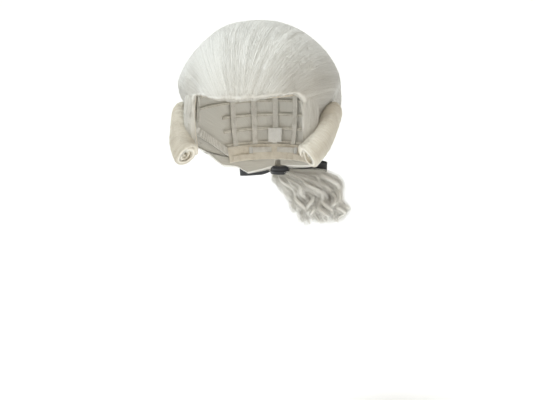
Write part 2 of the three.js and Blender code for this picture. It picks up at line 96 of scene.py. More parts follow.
def looking(position, target, roll=0.0):
    turn = (target - position).to_track_quat("-Z", "Y").to_matrix().to_4x4()
    return Matrix.Translation(position) @ turn @ Matrix.Rotation(roll, 4, "Z")


def add_camera():
    camera = bpy.data.objects.new("camera", bpy.data.cameras.new("camera"))
    bpy.context.scene.collection.objects.link(camera)
    back = Vector((
        math.sin(CAMERA_ROUND) * math.cos(CAMERA_RISE),
        -math.cos(CAMERA_ROUND) * math.cos(CAMERA_RISE),
        math.sin(CAMERA_RISE),
    ))
    camera.matrix_world = looking(AIM + back * CAMERA_AWAY, AIM, CAMERA_ROLL)
    camera.data.lens = LENS
    camera.data.sensor_width = 36
    bpy.context.scene.camera = camera


def add_lamp(name, position, size, power, colour):
    lamp = bpy.data.lights.new(name, "AREA")
    lamp.shape = "DISK"
    lamp.size = size
    lamp.energy = power
    lamp.color = colour
    holder = bpy.data.objects.new(name, lamp)
    bpy.context.scene.collection.objects.link(holder)
    holder.matrix_world = looking(Vector(position), Vector((0, 0, 0.03)))


def set_sockets(node, values):
    for socket, value in values.items():
        node.inputs[socket].default_value = value
    return node


def new_paint(name, values):
    """A material with nodes, and its main shader with some of its sockets set."""
    paint = bpy.data.materials.new(name)
    paint.use_nodes = True
    return paint, set_sockets(paint.node_tree.nodes["Principled BSDF"], values)


def add_room():
    world = bpy.data.worlds.new("studio")
    world.use_nodes = True
    sky = world.node_tree.nodes["Background"]
    set_sockets(sky, {"Color": SKY_COLOUR, "Strength": SKY_STRENGTH})
    bpy.context.scene.world = world
    bpy.context.scene.view_settings.view_transform = "Standard"
    low = CAD_BOX[0][2] - FLOOR_BELOW
    floor = bpy.data.meshes.new("floor")
    turns = [math.pi / 2 * k / BEND_STEPS for k in range(BEND_STEPS + 1)]
    bend = [(BACKDROP + BEND * math.sin(t), low + BEND * (1 - math.cos(t))) for t in turns]
    profile = [(-REACH, low), *bend, (BACKDROP + BEND, low + REACH)]
    corners = [(side * REACH, y, z) for y, z in profile for side in (-1, 1)]
    faces = [(2 * k, 2 * k + 1, 2 * k + 3, 2 * k + 2) for k in range(len(profile) - 1)]
    floor.from_pydata(corners, [], faces)
    floor.shade_smooth()
    sheet = bpy.data.objects.new("floor", floor)
    bpy.context.scene.collection.objects.link(sheet)
    paint, _ = new_paint("pale_floor", {
        "Base Color": (0.9, 0.9, 0.89, 1), "Roughness": 0.9,
        "Emission Color": (1, 1, 0.99, 1), "Emission Strength": FLOOR_GLOW,
    })
    floor.materials.append(paint)


add_camera()
add_room()
add_lamp("key", KEY_PLACE, size=0.7, power=29, colour=COOL)
add_lamp("fill", FILL_PLACE, size=1.0, power=4.5, colour=WARM)
print("camera at", [round(v, 3) for v in bpy.context.scene.camera.matrix_world.translation])

# %% [markdown]
# ## The head as a map
# Everything on a wig is measured over a head, so two angles are handier than x, y and z: how
# far round from the face, and how far down from the crown. A third number lifts a point off
# the head. Working with whole arrays of points keeps this fast.

# %% A head-shaped map
HEAD_HALF = np.array([70.0, 98.0])
HEAD_RISE = 93.0
HEAD_DROP = 120.0
HEAD_CENTRE = np.array([0.0, 4.0, 38.0])
MM = 0.001


def smooth(x, low, high):
    t = np.clip((np.asarray(x, float) - low) / (high - low), 0, 1)
    return t * t * (3 - 2 * t)


def mix(a, b, t):
    return a + (b - a) * t


def off_head(direction, lift):
    """Points in mm at unit directions from the head's middle, lifted off its surface."""
    height = np.where(direction[..., 2] >= 0, HEAD_RISE, HEAD_DROP)
    reach = np.stack([HEAD_HALF[0] + lift, HEAD_HALF[1] + lift, height + lift], -1)
    return HEAD_CENTRE + direction * reach


def heading(around, down):
    a, d = np.radians(around), np.radians(down)
    x, y = np.sin(d) * np.sin(a), -np.sin(d) * np.cos(a)
    return np.stack([x, y, np.cos(d) * np.ones_like(a)], -1)


def angles(direction):
    around = np.degrees(np.arctan2(direction[..., 0], -direction[..., 1]))
    return around, np.degrees(np.arccos(np.clip(direction[..., 2], -1, 1)))


# %% [markdown]
# ## Noise for hand-made unevenness
# Hair is never even. Smoothly interpolated random grids give lumps and waves of a chosen size,
# and a fixed seed makes them come out the same every time.

# %% Noise
def noise(u, v=0.0, seed=0):
    """Smooth noise from -1 to 1 with a feature size of one unit."""
    u, v = np.broadcast_arrays(np.asarray(u, float), np.asarray(v, float))
    grid = np.random.default_rng(seed).uniform(-1, 1, (64, 64))
    i, j = np.floor(u).astype(int), np.floor(v).astype(int)
    fu, fv = u - i, v - j
    fu, fv = fu * fu * (3 - 2 * fu), fv * fv * (3 - 2 * fv)
    low = mix(grid[i % 64, j % 64], grid[(i + 1) % 64, j % 64], fu)
    high = mix(grid[i % 64, (j + 1) % 64], grid[(i + 1) % 64, (j + 1) % 64], fu)
    return mix(low, high, fv)


print("noise along a line", np.round(noise(np.arange(0, 2, 0.5), 0, 5), 2))

# %% [markdown]
# ## Making meshes from arrays
# Blender can take a whole array of points at once, which is far faster than adding vertices
# one by one. A strand is a thin three-sided tube with closed ends: at this width nobody sees
# three sides, and it still catches light and casts a shadow as a real fibre does. A sheet of
# hair or ribbon has a front and a back grid, joined by a wall round their rims.

# %% Mesh helpers
FACE_LIMIT = 190_000


def new_piece(name, points, quads, tris=None, uv=None, shade=None):
    mesh = bpy.data.meshes.new(name)
    quads = np.asarray(quads, np.int32).reshape(-1, 4)
    tris = np.zeros((0, 3), np.int32) if tris is None else np.asarray(tris, np.int32).reshape(-1, 3)
    points = np.asarray(points, float).reshape(-1, 3) * MM
    corners = np.concatenate([quads.ravel(), tris.ravel()])
    starts = np.concatenate([
        np.arange(len(quads)) * 4,
        len(quads) * 4 + np.arange(len(tris)) * 3,
    ])
    mesh.vertices.add(len(points))
    mesh.vertices.foreach_set("co", points.ravel())
    mesh.loops.add(len(corners))
    mesh.loops.foreach_set("vertex_index", corners)
    mesh.polygons.add(len(starts))
    mesh.polygons.foreach_set("loop_start", starts)
    mesh.polygons.foreach_set("use_smooth", np.ones(len(starts), bool))
    if uv is not None:
        layer = mesh.uv_layers.new(name="flow")
        layer.data.foreach_set("uv", np.asarray(uv, float).reshape(-1, 2)[corners].ravel())
    if shade is not None:
        tone = mesh.attributes.new("shade", "FLOAT", "POINT")
        tone.data.foreach_set("value", np.asarray(shade, np.float32).ravel())
    mesh.update(calc_edges=True)
    mesh.validate()
    piece = bpy.data.objects.new(name, mesh)
    bpy.context.scene.collection.objects.link(piece)
    return piece


def grid_faces(rows, columns, wrap=False):
    """Quads of a grid of rows by columns of points; wrap joins the last column to the first."""
    i = np.arange(rows - 1)[:, None] * columns
    across = columns if wrap else columns - 1
    j = np.arange(across)[None, :]
    k = (j + 1) % columns
    return np.stack([i + j, i + k, i + columns + k, i + columns + j], -1).reshape(-1, 4)


def closed_sheet(name, outside, inside, uv=None, flipped=False):
    """A piece from a grid of points on its front and one on its back, walled round the rim."""
    rows, columns, _ = outside.shape
    shift = rows * columns
    index = np.arange(shift).reshape(rows, columns)
    rim = np.concatenate([index[0, :], index[1:, -1], index[-1, -2::-1], index[-2:0:-1, 0]])
    after = np.roll(rim, -1)
    faces = grid_faces(rows, columns)
    wall = np.stack([after + shift, rim + shift, rim, after], -1)
    quads = np.concatenate([faces[:, ::-1], faces + shift, wall])
    points = np.concatenate([outside.reshape(-1, 3), inside.reshape(-1, 3)])
    if uv is not None:
        uv = np.concatenate([uv.reshape(-1, 2), uv.reshape(-1, 2)])
    return new_piece(name, points, quads[:, ::-1] if flipped else quads, uv=uv)


def unit(v):
    return v / np.maximum(np.linalg.norm(v, axis=-1, keepdims=True), 1e-9)


def tubes(paths, radius, facing, sides=3):
    """Points and faces of closed tubes along many paths at once: paths is tubes by steps by 3."""
    count, steps, _ = paths.shape
    along = unit(np.gradient(paths, axis=1))
    across = unit(np.cross(along, facing))
    over = np.cross(across, along)
    turn = np.arange(sides) * 2 * np.pi / sides
    radius = np.broadcast_to(radius, (count, steps))[..., None, None]
    ringed = across[:, :, None] * np.cos(turn)[:, None] + over[:, :, None] * np.sin(turn)[:, None]
    points = paths[:, :, None] + radius * ringed
    one = grid_faces(steps, sides, wrap=True)
    base = np.arange(count)[:, None, None] * steps * sides
    quads = (one[None] + base).reshape(-1, 4)
    fan = [(0, k + 1, k) for k in range(1, sides - 1)]
    far = [((steps - 1) * sides, (steps - 1) * sides + k, (steps - 1) * sides + k + 1)
           for k in range(1, sides - 1)]
    tris = (np.array(fan + far)[None] + base).reshape(-1, 3)
    return points.reshape(-1, 3), quads, tris


def strands(name, paths, radius, facing, shade, finish, body, sides=3):
    """One or more pieces of many fibres, split so that no piece has too many faces."""
    count, steps, _ = paths.shape
    each = (steps - 1) * sides * 2 + 2 * (sides - 2)
    share = max(1, math.ceil(count * each / FACE_LIMIT))
    radius = np.broadcast_to(radius, (count, steps))
    made = []
    for part, rows in enumerate(np.array_split(np.arange(count), share)):
        points, quads, tris = tubes(paths[rows], radius[rows], facing[rows], sides)
        tone = np.repeat(shade[rows], steps * sides)
        label = name if share == 1 else f"{name}_{part + 1}"
        piece = new_piece(label, points, quads, tris, shade=tone)
        piece.data.materials.append(finish)
        if body:
            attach(piece, body)
        made.append(piece)
    print(name, count, "fibres in", share, "piece(s)")
    return made


# %% [markdown]
# ## White fibre
# Wig fibre is a fine plastic thread: nearly white, a little see-through, with a soft streaky
# gloss along the comb. The streaks are stretched noise that runs with the hair, so it is
# mapped by a flow layout on the big masses and by one random tone for each separate fibre.
# The rolls get a warmer, creamier copy of it with painted warm light: the warm glow from the face
# beside them is painted into their colour. The tail gets a paler copy with painted light that
# lifts the shade among its curls.

# %% Fibre material
def add_node(paint, kind, values=None):
    """A new shader node with some of its sockets set."""
    return set_sockets(paint.node_tree.nodes.new("ShaderNode" + kind), values or {})


def colour_blend(paint, deep, light):
    """A mix of two colours, deep where its factor is 0 and light where it is 1."""
    blend = add_node(paint, "Mix")
    blend.data_type = "RGBA"
    return set_sockets(blend, {"A": (*deep, 1), "B": (*light, 1)})


def fibre(name, light, deep, streaks=True):
    paint, shader = new_paint(name, {
        "Roughness": 0.42, "Specular IOR Level": 0.35, "Sheen Weight": 0.12, "Sheen Roughness": 0.4,
    })
    link = paint.node_tree.links.new
    blend = colour_blend(paint, deep, light)
    if streaks:
        layout = add_node(paint, "UVMap")
        layout.uv_map = "flow"
        stretch = add_node(paint, "Mapping", {"Scale": (1.0, 0.012, 1.0)})
        fine = add_node(paint, "TexNoise", {"Scale": 2.6, "Detail": 4})
        bump = add_node(paint, "Bump", {"Strength": 0.55, "Distance": 0.0006})
        spread = add_node(paint, "MapRange", {"From Min": 0.3, "From Max": 0.7, "To Min": 0.45})
        link(layout.outputs["UV"], stretch.inputs["Vector"])
        link(stretch.outputs["Vector"], fine.inputs["Vector"])
        link(fine.outputs["Fac"], bump.inputs["Height"])
        link(fine.outputs["Fac"], spread.inputs["Value"])
        link(spread.outputs["Result"], blend.inputs["Factor"])
        link(bump.outputs["Normal"], shader.inputs["Normal"])
    else:
        tone = add_node(paint, "Attribute")
        tone.attribute_name = "shade"
        link(tone.outputs["Fac"], blend.inputs["Factor"])
    link(blend.outputs["Result"], shader.inputs["Base Color"])
    return paint


WHITE = (0.80, 0.79, 0.745)
WHITE_DEEP = (0.56, 0.545, 0.49)
# Painted warm light: the rolls' creamier colours stand in for the warm light from the face beside
# them.
WARM_LIT_WHITE = (0.88, 0.85, 0.76)
WARM_LIT_WHITE_DEEP = (0.68, 0.62, 0.51)
# Painted light: the tail's paler colours make up for the shade among its curls.
TAIL_LIT_WHITE = (0.90, 0.89, 0.85)
TAIL_LIT_WHITE_DEEP = (0.70, 0.685, 0.63)
mass_fibre = fibre("white_fibre_mass", WHITE, WHITE_DEEP)
loose_fibre = fibre("white_fibre_loose", WHITE, WHITE_DEEP, streaks=False)
# The rolls' copies of the fibre, with painted warm light.
roll_mass_fibre = fibre("warm_lit_fibre_mass", WARM_LIT_WHITE, WARM_LIT_WHITE_DEEP)
roll_loose_fibre = fibre("warm_lit_fibre_loose", WARM_LIT_WHITE, WARM_LIT_WHITE_DEEP, streaks=False)
tail_lit_fibre = fibre("white_fibre_tail_lit", TAIL_LIT_WHITE, TAIL_LIT_WHITE_DEEP, streaks=False)
print("fibre finishes", [m.name for m in bpy.data.materials])

# %% [markdown]
# ## The comb's path
# Swept-back hair leaves the face everywhere and ends in one place, the tie at the nape. On a
# ball, the curves that all run between two points are cut by planes through both points, like
# the segments of an orange. One number picks the segment (the comb line) and another says how
# far along it a point is. The wig's whole direction of hair comes from this pair.

# %% Comb lines
FACE_END = unit(np.array([0.0, -1.0, -0.16]))
NAPE_END = unit(np.array([0.056, 0.822, -0.589]))
CHORD = unit(NAPE_END - FACE_END)
CHORD_MIDDLE = (NAPE_END + FACE_END) / 2
SINK = np.linalg.norm(CHORD_MIDDLE)
HALF_CHORD = math.sqrt(1 - SINK ** 2)
TOP_WAY = -CHORD_MIDDLE / SINK
SIDE_WAY = np.cross(CHORD, TOP_WAY) * np.sign(np.cross(CHORD, TOP_WAY)[0])


def comb(line, share):
    """Directions from the head's middle: line in degrees from the top, share from face to nape."""
    w = np.radians(line)
    way = TOP_WAY * np.cos(w)[..., None] + SIDE_WAY * np.sin(w)[..., None]
    middle = CHORD_MIDDLE + way * (SINK * np.cos(w))[..., None]
    radius = np.sqrt(1 - (SINK * np.sin(w)) ** 2)
    first = np.arctan2(-SINK * np.cos(w), HALF_CHORD)
    turn = first + share * (np.pi - 2 * first)
    circle = -np.cos(turn)[..., None] * CHORD + np.sin(turn)[..., None] * way
    return unit(middle + radius[..., None] * circle)


print("over the crown", np.round(off_head(comb(np.array(0.0), np.array(0.45)), 9.0), 1))

# %% [markdown]
# ## How thick the hair is
# The hair is thin where it springs from the hairline, full over the temples and sides, flat
# where a roll lies on it, and close to the neck below. The same rules shape the frame's plain
# solids, so the finished hair fills the space that the frame keeps for it.

# %% Thickness rules and the face opening
INSIDE = 5.4
AT_HAIRLINE = 6.8
ON_TOP, IN_FRONT, AT_SIDES, AT_BACK, AT_NECK = 7.6, 9.6, 24.6, 13.0, 10.0
UNDER_ROLL = 5.9
HAIRLINE_DOWN = 74.5
SIDE_EDGE = 52.0
CORNER = 9.0
FOOT_AT_CHEEK, FOOT_BEHIND_EAR, FOOT_OVER_BAND, PAST_EVERY_LINE = 102.0, 114.0, 124.2, 132.0
FIRST_SHARE, LAST_SHARE = 0.02, 0.985


def fullness(direction):
    """How far the outside of the hair stands off the head, in mm."""
    around, down = angles(direction)
    side = np.sin(np.radians(around)) ** 2
    fall = np.sin(np.radians(down)) ** 2
    ends = np.where(np.abs(around) < 90, IN_FRONT, AT_BACK)
    sides = mix(AT_SIDES, AT_NECK, smooth(down, 84, 110))
    full = ON_TOP * (1 - fall) + mix(ends, sides, side) * fall
    thin = smooth(down, HAIRLINE_DOWN - 26, HAIRLINE_DOWN) * (1 - smooth(np.abs(around), 44, 62))
    full = mix(full, AT_HAIRLINE, thin)
    beside = smooth(np.abs(around), 46, 52) * (1 - smooth(np.abs(around), 92, 112))
    behind = smooth(np.abs(around), 60, 80)
    return mix(full, UNDER_ROLL, smooth(down, mix(60, 70, behind), mix(94, 92, behind)) * beside)


def hairline(around):
    """How far down the crown the front edge of the hair lies, a little uneven."""
    wave = 0.9 * np.cos(np.radians(around * 3.4 + 20))
    return HAIRLINE_DOWN + wave + 0.4 * noise(around / 7, 0, 5) + 0.35 * noise(around / 1.6, 0, 6)


def foot(around):
    """How far down the hair reaches; behind the ears its edge is the lowest comb line."""
    a = np.abs(around)
    at_side = mix(FOOT_AT_CHEEK, FOOT_BEHIND_EAR, np.clip((a - SIDE_EDGE) / 60, 0, 1))
    over_band = mix(at_side, FOOT_OVER_BAND, smooth(a, 104, 130))
    return mix(over_band, PAST_EVERY_LINE, smooth(a, 134, 160))


def has_hair(direction):
    around, down = angles(direction)
    in_line = down - hairline(around)
    in_side = SIDE_EDGE - np.abs(around)
    past_line, past_side = np.clip(CORNER - in_line, 0, None), np.clip(CORNER - in_side, 0, None)
    corner = (past_line ** 2 + past_side ** 2) < CORNER ** 2
    face = (in_line > 0) & (in_side > 0) & corner
    return ~face & (down < foot(around))


def hair_run(line):
    """Where along each comb line the hair begins and ends: its longest stretch of hair."""
    shares = np.linspace(FIRST_SHARE, LAST_SHARE, 400)
    inside = has_hair(comb(line[:, None] + 0 * shares, shares + 0 * line[:, None]))
    run = np.zeros(len(line), int)
    longest, last = run, run
    for k in range(len(shares)):
        run = np.where(inside[:, k], run + 1, 0)
        longer = run > longest
        longest, last = np.where(longer, run, longest), np.where(longer, k, last)
    return shares[last - longest + 1], shares[last]


LOWEST_LINE = 97.0
PATH_LENGTH = 330
line_samples = np.linspace(-LOWEST_LINE, LOWEST_LINE, 521)
start_samples, end_samples = hair_run(line_samples)
print("hair begins at share", round(float(start_samples.min()), 3),
      "to", round(float(start_samples.max()), 3))


def begins(line):
    return np.interp(line, line_samples, start_samples)


def ends(line):
    return np.interp(line, line_samples, end_samples)


# %% [markdown]
# ## Locks
# Combed hair gathers into flat locks with a shallow groove between neighbours, and each lock
# has finer ones in it. A lock number that drifts slowly as the comb moves back makes locks
# lean, split and join. The rounded ridge is the root of a sine, which has sharp valleys.

# %% Lock relief
LOCK_WIDTH = 4.6


def drift(line, share):
    return 0.55 * noise(line / 11, share * 3.5, 21) + 0.3 * noise(line / 4, share * 7, 22)


def relief(line, share):
    """Height in mm of the locks above the smooth hair."""
    number = line / LOCK_WIDTH + drift(line, share)
    ridge = np.abs(np.sin(np.pi * number)) ** 0.6 - 0.6
    finer = np.abs(np.sin(np.pi * (number * 2.7 + 0.4 * noise(number, share * 9, 23)))) ** 0.7 - 0.6
    finest = noise(number * 8, share * 5, 24)
    swell = noise(line / 16, share * 5, 25)
    wave = noise(line / 9, share * 16, 26) * smooth(np.abs(line), 48, 80)
    strength = 0.14 + 0.42 * smooth(np.abs(line), 28, 75)
    return strength * (0.6 * ridge + 0.5 * finer) + 0.12 * finest + 1.1 * swell + 0.7 * wave


print("lock height at the crown", round(float(relief(np.array(0.0), np.array(0.5))), 2), "mm")

# %% [markdown]
# ## The swept-back mass
# Under the loose fibres lies a solid body of hair. Each half is one grid: rows follow the comb
# from face to nape and columns go from line to line. At the front the surface rolls round from
# the cap's edge to its full height, so the hairline is soft and rounded, not cut. An inner
# sheet closes it, because the inside of the cap shows when nobody wears it.

# %% Hair mass
ROUNDING = 3.5


def surface(line, share, raise_by=0.0):
    """Points on the outside of the hair, in mm, and their outward directions."""
    direction = comb(line, share)
    full = fullness(direction)
    from_edge = np.clip((share - begins(line)) * PATH_LENGTH / ROUNDING, 0, 1)
    round_edge = np.sqrt(1 - (1 - from_edge) ** 2)
    lift = INSIDE + (full + relief(line, share) * smooth(from_edge, 0, 1) - INSIDE) * round_edge
    return off_head(direction, lift + raise_by), direction


def hair_half(name, first, last, columns=270, rows=150):
    lines = np.linspace(first, last, columns)[:, None]
    begin = begins(lines)
    steps = np.linspace(0, 1, rows)[None, :] ** 1.15
    share = begin + (ends(lines) - begin) * steps
    line = lines + 0 * share
    outside, direction = surface(line, share)
    inside = off_head(direction, INSIDE + 0 * share)
    uv = np.stack([line * 1.9, share * PATH_LENGTH], -1)
    piece = closed_sheet(name, outside, inside, uv)
    piece.data.materials.append(mass_fibre)
    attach(piece, "cap")
    return piece


right_half = hair_half("swept_hair_right", -LOWEST_LINE, 0)
left_half = hair_half("swept_hair_left", 0, LOWEST_LINE)
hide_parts("crown_hair", "front_hair", "right_back_hair", "right_side_hair")
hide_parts("left_back_hair", "left_side_hair")
print("hair mass", len(right_half.data.polygons) + len(left_half.data.polygons), "faces")

# %% [markdown]
# ## Loose combed fibres
# Thousands of fine fibres lie on the mass and follow its locks. Some spring from the hairline
# and run far back, others surface half way. Each wanders a little, stands a hair's breadth off
# the surface and has its own tone, which gives the fine streaks of real fibre.

# %% Combed fibres
FIBRE_STEPS = 16


def combed_fibres(name, count, seed, reach, lifted, width):
    rng = np.random.default_rng(seed)
    line = LOWEST_LINE * np.sign(rng.uniform(-1, 1, count)) * rng.uniform(0, 1, count) ** 0.85
    begin = begins(line)
    from_front = rng.uniform(0, 1, count) < 0.45
    inner_start = begin + (0.92 * ends(line) - begin) * rng.uniform(0, 1, count)
    start = np.where(from_front, begin - 0.004, inner_start)
    end = np.maximum(np.minimum(start + rng.uniform(*reach, count), ends(line)), start + 0.01)
    along = np.linspace(0, 1, FIBRE_STEPS)[None, :]
    share = start[:, None] + (end - start)[:, None] * along
    moved = drift(line[:, None] + 0 * share, share) - drift(line, start)[:, None]
    where, row = rng.uniform(0, 60, count)[:, None], rng.uniform(0, 60, count)[:, None]
    wander = noise(share * 6 + where, row, seed)
    path_line = line[:, None] - LOCK_WIDTH * moved + 0.8 * wander * along
    arch = rng.uniform(*lifted, count)[:, None] * (0.35 + 0.65 * np.sin(np.pi * along))
    rooted = np.where(from_front[:, None], 0.0, -0.9 * (1 - smooth(along, 0, 0.12)))
    paths, facing = surface(path_line, np.clip(share, FIRST_SHARE, LAST_SHARE), arch + rooted)
    thick = rng.uniform(*width, count)[:, None] * (1 - 0.75 * along ** 4)
    shade = np.clip(rng.normal(0.72, 0.22, count), 0, 1)
    return strands(name, paths, thick, facing, shade, loose_fibre, "cap")


fibre_count = 12000
combed_fibres("combed_fibres", fibre_count, 101, reach=(0.22, 0.62), lifted=(0.05, 0.55),
              width=(0.10, 0.17))

# %% [markdown]
# A few fibres always escape. They stand a little off the outline and soften it.

# %% Flyaways
combed_fibres("flyaway_fibres", 150, 102, reach=(0.06, 0.2), lifted=(0.8, 2.6), width=(0.05, 0.08))

# %% [markdown]
# ## Temple strips
# Beside the face a narrow lock isn't swept back: it falls straight down the edge of the cap and
# hides the elastic tab. It is one long pillow, fullest in the middle, with its fibres running
# down it. It could be part of the big mass, but its fibres cross the comb lines there.

# %% Temple strips
STRIP_TOP, STRIP_FOOT = 70.0, 104.5
STRIP_MIDDLE = 60.0
STRIP_HALF = 8.4


def temple_surface(side, across, fall, raise_by=0.0):
    """Points of a temple strip: across is -1 at the face and 1 behind, fall is 0 at the top."""
    down = mix(STRIP_TOP, STRIP_FOOT, fall)
    half = STRIP_HALF * mix(1.0, 0.78, smooth(fall, 0.55, 1))
    sway = 0.9 * noise(fall * 2.2, 0, 31) + 0.35 * noise(fall * 6, 0, 32)
    around = side * (STRIP_MIDDLE + sway + across * half)
    height = 5.8 * smooth(fall, 0, 0.2) * (1 - 0.35 * smooth(fall, 0.7, 1))
    dome = np.sqrt(np.clip(1 - across ** 2, 0, 1))
    number = across * 2.4 + 0.5 * noise(fall * 4, across, 33)
    locks = 0.45 * (np.abs(np.sin(np.pi * number)) ** 0.6 - 0.6)
    locks = locks + 0.12 * noise(across * 22, fall * 3, 34)
    direction = heading(around, down)
    return off_head(direction, 4.6 + 1.6 * dome + (height + locks) * dome + raise_by), direction


def temple_strip(word, side, columns=48, rows=90):
    across = np.linspace(-1, 1, columns)[:, None]
    fall = np.linspace(0, 1, rows)[None, :]
    across, fall = np.broadcast_arrays(across, fall)
    outside, direction = temple_surface(side, across, fall)
    inside = off_head(direction, 3.9 + 0 * across)
    uv = np.stack([across * 9, fall * 70], -1)
    piece = closed_sheet(f"{word}_temple_strip", outside, inside, uv, flipped=side < 0)
    piece.data.materials.append(mass_fibre)
    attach(piece, "cap")
    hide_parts(f"{word}_temple_hair")


def temple_fibres(word, side, count=420, steps=14):
    rng = np.random.default_rng(200 + side)
    along = np.linspace(0, 1, steps)[None, :]
    start = np.where(rng.uniform(0, 1, count) < 0.5, 0.0, rng.uniform(0, 0.6, count))[:, None]
    fall = np.clip(start + rng.uniform(0.3, 1.0, count)[:, None] * along, 0, 1.02)
    across = rng.uniform(-0.98, 0.98, count)[:, None]
    across = across + 0.12 * noise(fall * 4, rng.uniform(0, 60, (count, 1)), 35)
    arch = rng.uniform(0.05, 0.5, count)[:, None] * np.sin(np.pi * along)
    paths, facing = temple_surface(side, np.clip(across, -1, 1), fall, arch)
    thick = rng.uniform(0.10, 0.16, count)[:, None] * (1 - 0.7 * along ** 4)
    shade = np.clip(rng.normal(0.75, 0.2, count), 0, 1)
    strands(f"{word}_temple_fibres", paths, thick, facing, shade, loose_fibre, "cap")


for word, side in (("left", 1), ("right", -1)):
    temple_strip(word, side)
    temple_fibres(word, side)

# %% [markdown]
# ## Side rolls
# Each roll is a sheet of hair wound round a finger, pinned along its top edge and left open at
# the front, where its turns show. One surface rule gives both the sheet and the fibres on it:
# the first number runs along the roll, the second winds inwards. Fibres run round the roll,
# not along it, because the sheet is rolled up in the direction of the hair.

# %% Roll surface
ROLL_RADIUS = 15.6
ROLL_SHEET = 3.9
ROLL_PITCH = (ROLL_SHEET + 0.5) / (2 * math.pi)
ROLL_WOUND = 5.6 * math.pi
ROLL_SEAM = 0.9 * math.pi
ROLL_BED = 5.0
ROLL_LIP = 3.2
ROLL_RECESS = 3.5
ROLL_FRONT, ROLL_MIDDLE, ROLL_REAR = (49.0, 105.7, 0.90), (64, 98.5, 0.82), (88, 86, 0.70)


def roll_middle(side, t):
    """The middle line of a roll, from its open front (t is 0) back and up to its closed end."""
    def seat(around, down, flatness):
        place = heading(np.array(side * around), np.array(down))
        return off_head(place, ROLL_BED + ROLL_RADIUS * flatness)

    front, middle, rear = seat(*ROLL_FRONT), seat(*ROLL_MIDDLE), seat(*ROLL_REAR)
    bulge = 2 * middle - (front + rear) / 2
    t = t[..., None]
    place = front * (1 - t) ** 2 + bulge * 2 * t * (1 - t) + rear * t ** 2
    along = unit((bulge - front) * (1 - t) + (rear - bulge) * t)
    return place, along


def roll_surface(side, t, wound, inset=0.0):
    place, along = roll_middle(side, t)
    uneven = 1.1 * noise(wound * 0.9, 0, 47 + side) + 0.35 * noise(wound * 4, 0, 49)
    place = place + along * (uneven * (1 - t) ** 6)[..., None]
    sunk = ROLL_RECESS * smooth(wound, 0.8 * math.pi, ROLL_WOUND) * (1 - t) ** 4
    place = place + along * sunk[..., None]
    outward = np.stack([place[..., 0], (place[..., 1] - HEAD_CENTRE[1]) * 0.55, 0 * t], -1)
    outward = unit(outward - along * np.sum(outward * along, -1, keepdims=True))
    upward = np.cross(along, outward)
    flat = mix(0.92, 0.70, smooth(t, 0.1, 1.0))
    full = mix(0.97, 0.86, smooth(t, 0.6, 1.0))
    closing = np.sqrt(np.clip(1 - np.clip((t - 0.85) / 0.155, 0, 1) ** 2, 0.0004, 1))
    flare = 1 + 0.05 * (1 - smooth(t, 0, 0.12)) + 0.03 * noise(t * 4, 0, 41 + side)
    number = t * 17 + 0.9 * noise(wound * 0.6, t * 6, 42 + side)
    locks = 1.05 * (np.abs(np.sin(np.pi * number)) ** 0.55 - 0.65)
    locks = locks + 0.3 * noise(t * 80, wound * 0.7, 43)
    locks = locks + 0.9 * noise(t * 5, wound * 0.8, 45 + side)
    lip = np.clip(1 - t * 95 / ROLL_LIP, 0, 1)
    locks = locks - 0.8 * ROLL_LIP * (1 - np.sqrt(1 - lip ** 2))
    spiral = (ROLL_RADIUS - ROLL_PITCH * wound) * flare
    radius = (spiral + locks * smooth(radius_room(wound), 0, 1) - inset) * closing
    angle = side * (wound + ROLL_SEAM)
    x, y = np.cos(angle) * radius * flat, np.sin(angle) * radius * full
    return place + outward * x[..., None] + upward * y[..., None]


def radius_room(wound):
    """Locks stand out most on the outer turn and fade inside, where the turns lie close."""
    return 1 - 0.7 * smooth(wound, math.pi, 2.4 * math.pi)


def wound_roll(word, side, columns=120, rows=200):
    t = np.linspace(0, 1, columns)[:, None]
    wound = ROLL_WOUND * np.linspace(0, 1, rows)[None, :]
    t, wound = np.broadcast_arrays(t, wound)
    inner_end = 1 - 0.6 * smooth(wound, ROLL_WOUND - 0.8, ROLL_WOUND)
    thick = ROLL_SHEET * smooth(wound, -0.3, 0.9) * inner_end
    outside = roll_surface(side, t, wound)
    inside = roll_surface(side, t, wound, thick)
    uv = np.stack([t * 160, wound * 14], -1)
    piece = closed_sheet(f"{word}_rolled_hair", outside, inside, uv, flipped=True)
    piece.data.materials.append(roll_mass_fibre)
    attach(piece, f"{word}_roll")
    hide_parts(f"{word}_roll")


def roll_fibres(word, side, count=2600, steps=18):
    rng = np.random.default_rng(300 + side)
    along = np.linspace(0, 1, steps)[None, :]
    t = rng.uniform(0.0, 0.97, count)[:, None]
    t = t + 0.012 * noise(along * 2.5, rng.uniform(0, 60, (count, 1)), 45)
    start = rng.uniform(-0.1, 5.2, count)[:, None]
    wound = np.clip(start + rng.uniform(1.0, 3.4, count)[:, None] * along, 0, ROLL_WOUND)
    arch = 0.06 + rng.uniform(0.05, 0.6, count)[:, None] ** 1.5 * np.sin(np.pi * along)
    paths = roll_surface(side, np.clip(t, 0, 1), wound, -arch)
    facing = unit(paths - roll_middle(side, np.clip(t, 0, 1))[0])
    thick = rng.uniform(0.10, 0.17, count)[:, None] * (1 - 0.6 * along ** 4)
    shade = np.clip(rng.normal(0.7, 0.24, count), 0, 1)
    strands(f"{word}_roll_fibres", paths, thick, facing, shade, roll_loose_fibre, f"{word}_roll")


for word, side in (("left", 1), ("right", -1)):
    wound_roll(word, side)
    roll_fibres(word, side)

# %% [markdown]
# ## The gathered nape hair
# Under the foot of the back hair all locks run together into the tie. These fibres cross a
# joint: their roots lie on the cap and their ends at the tie, and they are left where they are
# made, attached to neither.

# %% Gathered fibres
TIE = np.array([6.0, 97.0, -48.0])
TIE_BORE = 9.2


